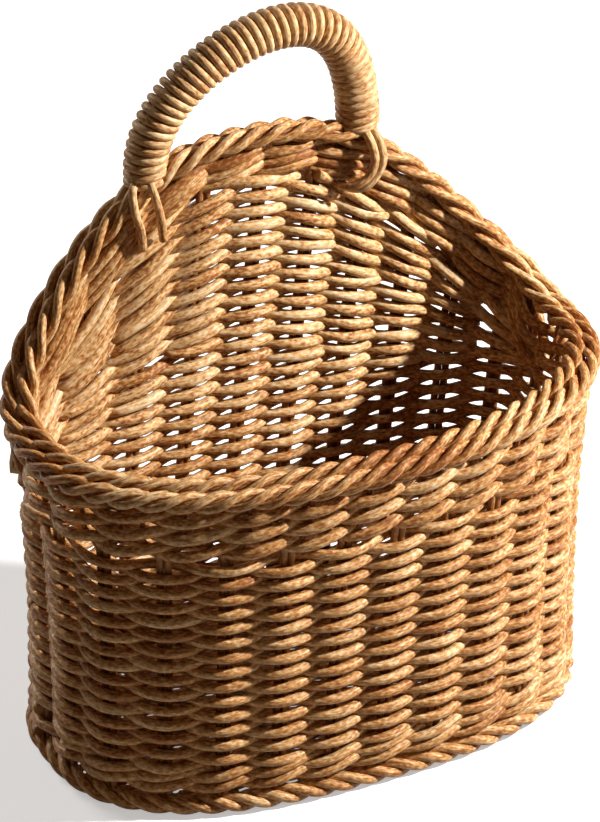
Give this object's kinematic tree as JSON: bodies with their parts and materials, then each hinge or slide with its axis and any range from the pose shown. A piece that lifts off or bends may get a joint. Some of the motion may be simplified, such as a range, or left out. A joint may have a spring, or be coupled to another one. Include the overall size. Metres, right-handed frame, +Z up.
{
  "type": "wall basket",
  "caption": "Small woven cane wall basket: D-shaped open bowl, back rising in an arch, twisted border, and a fixed bow handle bound with cane to hang it by.",
  "frame": {"origin": "middle of the basket's outline in plan, on the level that its base stands on", "axes": "+Z up; the flat arched back that goes against the wall faces +Y, the round front faces -Y, +X to the right as seen from the front"},
  "size_m": [0.233, 0.129, 0.2778],
  "materials": {
    "stake": "satin lacquer",
    "weaver": "satin lacquer",
    "border": "satin lacquer",
    "foot": "satin lacquer",
    "base": "satin",
    "handle": "satin lacquer"
  },
  "bodies": {
    "root": {"stake_pair_01": "stake", "stake_pair_02": "stake", "stake_pair_03": "stake", "stake_pair_04": "stake", "stake_pair_05": "stake", "stake_pair_06": "stake", "stake_pair_07": "stake", "stake_pair_08": "stake", "stake_pair_09": "stake", "stake_pair_10": "stake", "stake_pair_11": "stake", "stake_pair_12": "stake", "stake_pair_13": "stake", "stake_pair_14": "stake", "stake_pair_15": "stake", "stake_pair_16": "stake", "stake_pair_17": "stake", "stake_pair_18": "stake", "stake_pair_19": "stake", "stake_pair_20": "stake", "stake_pair_21": "stake", "stake_pair_22": "stake", "stake_pair_23": "stake", "stake_pair_24": "stake", "stake_pair_25": "stake", "wall_weaver_1": "weaver", "wall_weaver_2": "weaver", "wall_weaver_3": "weaver", "wall_weaver_4": "weaver", "foot_twined_a": "weaver", "foot_twined_b": "weaver", "top_twined_a": "weaver", "top_twined_b": "weaver", "back_packing_1": "weaver", "back_packing_2": "weaver", "back_packing_3": "weaver", "border_strand_a": "border", "border_strand_b": "border", "border_strand_c": "border", "foot_border": "foot", "base_mat": "base", "base_stick_1": "stake", "base_stick_2": "stake", "base_stick_3": "stake", "base_stick_4": "stake", "base_stick_5": "stake", "handle_core": "handle", "handle_wrap_left": "handle", "handle_wrap_right": "handle", "handle_lashing_left": "handle", "handle_lashing_right": "handle"}
  },
  "joints": []
}
